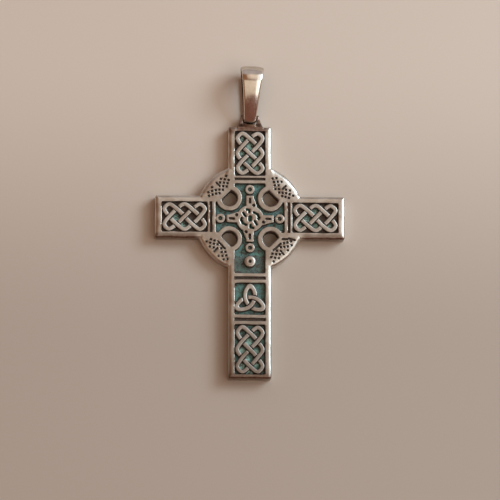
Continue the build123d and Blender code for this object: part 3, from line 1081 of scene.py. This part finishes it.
class Nodes:
    """Short calls for building a material or world out of nodes."""

    def __init__(self, tree):
        self.tree = tree
        tree.nodes.clear()

    def add(self, kind, settings=None, **inputs):
        """A new node with its settings and inputs."""
        node = self.tree.nodes.new(kind)
        for name, value in (settings or {}).items():
            setattr(node, name, value)
        for name, value in inputs.items():
            self.put(node, name.replace("_", " "), value)
        return node

    def put(self, node, name, value):
        """Sets an input to a value, or links it to another node's output."""
        socket = node.inputs[int(name)] if name.isdigit() else node.inputs[name]
        if isinstance(value, bpy.types.NodeSocket):
            self.tree.links.new(value, socket)
        else:
            socket.default_value = value

    def put_all(self, node, names, values):
        """Sets or links several inputs."""
        for name, value in zip(names, values):
            self.put(node, name, value)

    def place_in_mm(self):
        """The place on the object that is shaded."""
        place = self.add("ShaderNodeTexCoord").outputs["Object"]
        scale = {"operation": "SCALE"}
        return self.add("ShaderNodeVectorMath", scale, Vector=place, Scale=1 / MM).outputs[0]

    def mask(self, name):
        return self.add("ShaderNodeAttribute", {"attribute_name": name}).outputs["Fac"]

    def math(self, operation, first, second=0.0):
        node = self.add("ShaderNodeMath", {"operation": operation})
        self.put_all(node, ("0", "1"), (first, second))
        return node.outputs[0]

    def ramp(self, value, low, high, to_low=0.0, to_high=1.0):
        """A smooth step of a value between two levels."""
        node = self.add("ShaderNodeMapRange", {"interpolation_type": "SMOOTHSTEP"})
        names = ("Value", "From Min", "From Max", "To Min", "To Max")
        self.put_all(node, names, (value, low, high, to_low, to_high))
        return node.outputs[0]

    def step(self, name, value):
        """A step of the table of steps, on the mask or pattern that it follows."""
        return self.ramp(value, *steps[name])

    def tint(self, name, value, base):
        """A colour with a tone over it, where the step of the same name lets it through."""
        return self.mix(self.step(name, value), base, tones[name])

    def pattern(self, name, place):
        """A pattern of the table of patterns."""
        node = self.add("ShaderNodeTexNoise")
        names = ("Vector", "Scale", "Detail", "Roughness")
        self.put_all(node, names, (place, *patterns[name]))
        return node.outputs[0]

    def metal(self, colour, metallic, roughness, bump, heights):
        """The finished surface, with bumps that follow a pattern's heights."""
        strength, height = bump
        bumps = self.add("ShaderNodeBump", Strength=strength, Distance=height * MM, Height=heights)
        shader = self.add("ShaderNodeBsdfPrincipled")
        names = ("Base Color", "Metallic", "Roughness", "Normal")
        self.put_all(shader, names, (colour, metallic, roughness, bumps.outputs[0]))
        self.add("ShaderNodeOutputMaterial", Surface=shader.outputs[0])

    def mix(self, share, first, second):
        """A blend of two colours, each a tone or another node's output."""
        node = self.add("ShaderNodeMix", {"data_type": "RGBA"})
        self.put(node, "0", share)
        for name, value in (("6", first), ("7", second)):
            is_tone = isinstance(value, tuple)
            self.put(node, name, (*value, 1) if is_tone else value)
        return node.outputs[2]


def new_material(name):
    """An empty material and the short calls for its nodes."""
    material = bpy.data.materials.new(name)
    material.use_nodes = True
    return material, Nodes(material.node_tree)


def cast_silver():
    """Worn cast silver: bright high spots, black-brown recesses, teal tarnish on the floors,
    painted shade on the raised metal, and brown that is tarnish on the ear and stains but partly
    painted reflection on the lower edges.
    """
    material, n = new_material("cast_silver")
    place = n.place_in_mm()
    names = ("sunk", "openness", "verdigris", "painted_shade", "tarnish_and_painted_reflection")
    sunk, openness, verdigris, painted_shade, tarnish_and_painted_reflection = [n.mask(name) for name in names]
    blotches = n.pattern("blotches", place)
    mottling = n.pattern("mottling", place)
    grain = n.pattern("grain", place)
    dark = n.step("oxide in recess", sunk)
    on_floor = n.math("MULTIPLY", n.step("panel floor", sunk), n.step("open floor", openness))
    patches = n.step("verdigris patches", mottling)
    grown = n.math("MULTIPLY", n.step("verdigris", verdigris), patches)
    teal = n.math("MULTIPLY", on_floor, grown)
    silver = n.tint("bright silver", blotches, tones["silver"])
    silver = n.tint("pink silver", mottling, silver)
    silver = n.tint("shaded silver", grain, silver)
    # Painted shade: the raised metal darker inwards from its edges, low down, below the arms and by
    # the holes
    silver = n.mix(painted_shade, silver, tones["painted_shade"])
    # Brown: tarnish on the ear and in stains, and on the lower edges partly tarnish, partly painted
    # reflection
    silver = n.mix(tarnish_and_painted_reflection, silver, n.tint("light tarnish and painted reflection", mottling, tones["tarnish_and_painted_reflection"]))
    oxide = n.tint("light oxide", grain, tones["oxide"])
    tints = n.tint("light teal", grain, tones["teal"])
    tints = n.tint("green teal", n.pattern("tints", place), tints)
    tints = n.tint("bright teal", verdigris, tints)
    tints = n.tint("deep teal", verdigris, tints)
    covered = n.math("MAXIMUM", dark, teal)
    roughness = n.math("MAXIMUM", n.step("rough cover", covered), n.step("rough recess", sunk))
    roughness = n.math("ADD", roughness, n.step("rough blotches", blotches))
    colour = n.mix(teal, n.mix(dark, silver, oxide), tints)
    n.metal(colour, n.step("bare metal", covered), roughness, grain_bump, grain)
    return material


def polished_silver():
    """Bright strap silver with fine scratches along it, and painted shade inside the loop, on its
    lower edges, round the bar and at its far end.
    """
    material, n = new_material("polished_silver")
    place = n.place_in_mm()
    stretched = n.add("ShaderNodeMapping", Vector=place, Scale=hairline_stretch)
    hairlines = n.pattern("hairlines", stretched.outputs[0])
    blotches = n.pattern("strap blotches", place)
    colour = n.tint("bright strap", blotches, tones["strap"])
    # Painted shade inside the loop and where the strap turns
    colour = n.mix(n.mask("strap_shade"), colour, tones["painted strap shade"])
    roughness = n.step("rough hairlines", hairlines)
    roughness = n.math("ADD", roughness, n.step("rough strap blotches", blotches))
    n.metal(colour, 1.0, roughness, hairline_bump, hairlines)
    return material


def floor():
    """A plain pale floor, with painted light that makes it a little lighter towards the back; it
    isn't part of the object.
    """
    bpy.ops.mesh.primitive_plane_add(size=floor_size, location=(0, 0, -floor_depth))
    plane = bpy.context.object
    plane.name = "floor"
    material, n = new_material("floor")
    along = n.add("ShaderNodeSeparateXYZ", Vector=n.place_in_mm()).outputs[1]
    # Painted light: the floor's colour grows lighter towards the back
    colour = n.tint("far floor", along, tones["near floor"])
    shader = n.add("ShaderNodeBsdfPrincipled", Base_Color=colour, Roughness=floor_roughness)
    shader.inputs["Specular IOR Level"].default_value = floor_specular
    n.add("ShaderNodeOutputMaterial", Surface=shader.outputs[0])
    plane.data.materials.append(material)


def world():
    """The room's soft light, zone over zone."""
    scene_world = bpy.data.worlds.new("room")
    bpy.context.scene.world = scene_world
    scene_world.use_nodes = True
    n = Nodes(scene_world.node_tree)
    direction = n.add("ShaderNodeTexCoord").outputs["Generated"]
    axes = n.add("ShaderNodeSeparateXYZ", Vector=direction).outputs
    levels = dict(zip(("to_right", "to_back", "up"), axes))
    sideways = n.math("ADD", levels["to_right"], beside_offset)
    levels["beside"] = n.math("ABSOLUTE", sideways)
    colour = tones["room"]
    for zone, tone, zone_steps in room_zones:
        share, *others = [n.ramp(levels[name], *ends) for name, *ends in zone_steps]
        for other in others:
            share = n.math("MULTIPLY", share, other)
        levels[zone] = share
        colour = n.mix(share, colour, tone)
    background = n.add("ShaderNodeBackground", Color=colour)
    n.add("ShaderNodeOutputWorld", Surface=background.outputs[0])


def window():
    """One soft rectangular light that faces the pendant."""
    data = bpy.data.lights.new("window", "AREA")
    data.shape = "RECTANGLE"
    data.size, data.size_y = window_size
    data.energy = window_power
    data.color = tones["window"]
    light = bpy.data.objects.new("window", data)
    bpy.context.scene.collection.objects.link(light)
    level, upright = pointing(window_elevation)
    to_right, to_back = pointing(window_azimuth)
    away = Vector((level * to_right, level * to_back, upright))
    light.location = away * window_distance
    light.rotation_euler = (-away).to_track_quat("-Z", "Y").to_euler()


def camera():
    """Looks straight down from far off, but for a little from the front and the left."""
    aim = Vector((0, (arms_y - view_below_arms) * MM, plate_thickness * MM))
    lean_left = math.tan(math.radians(view_from_left))
    lean_front = math.tan(math.radians(view_from_front))
    data = bpy.data.cameras.new("camera")
    data.lens = data.sensor_width * camera_distance / view_width
    data.clip_start = clip_near
    data.clip_end = clip_far
    taken_by = bpy.data.objects.new("camera", data)
    bpy.context.scene.collection.objects.link(taken_by)
    back = Vector((-lean_left, -lean_front, 1)).normalized()
    right = Vector((0, 1, 0)).cross(back).normalized()
    facing = Matrix((right, back.cross(right), back)).transposed().to_4x4()
    taken_by.matrix_world = Matrix.Translation(aim + back * camera_distance) @ facing
    bpy.context.scene.camera = taken_by


bpy.context.scene.view_settings.view_transform = "Standard"
cross_piece = casting()
cross_piece.data.materials.append(cast_silver())
bail_piece = bail()
bail_piece.data.materials.append(polished_silver())
floor()
world()
window()
camera()
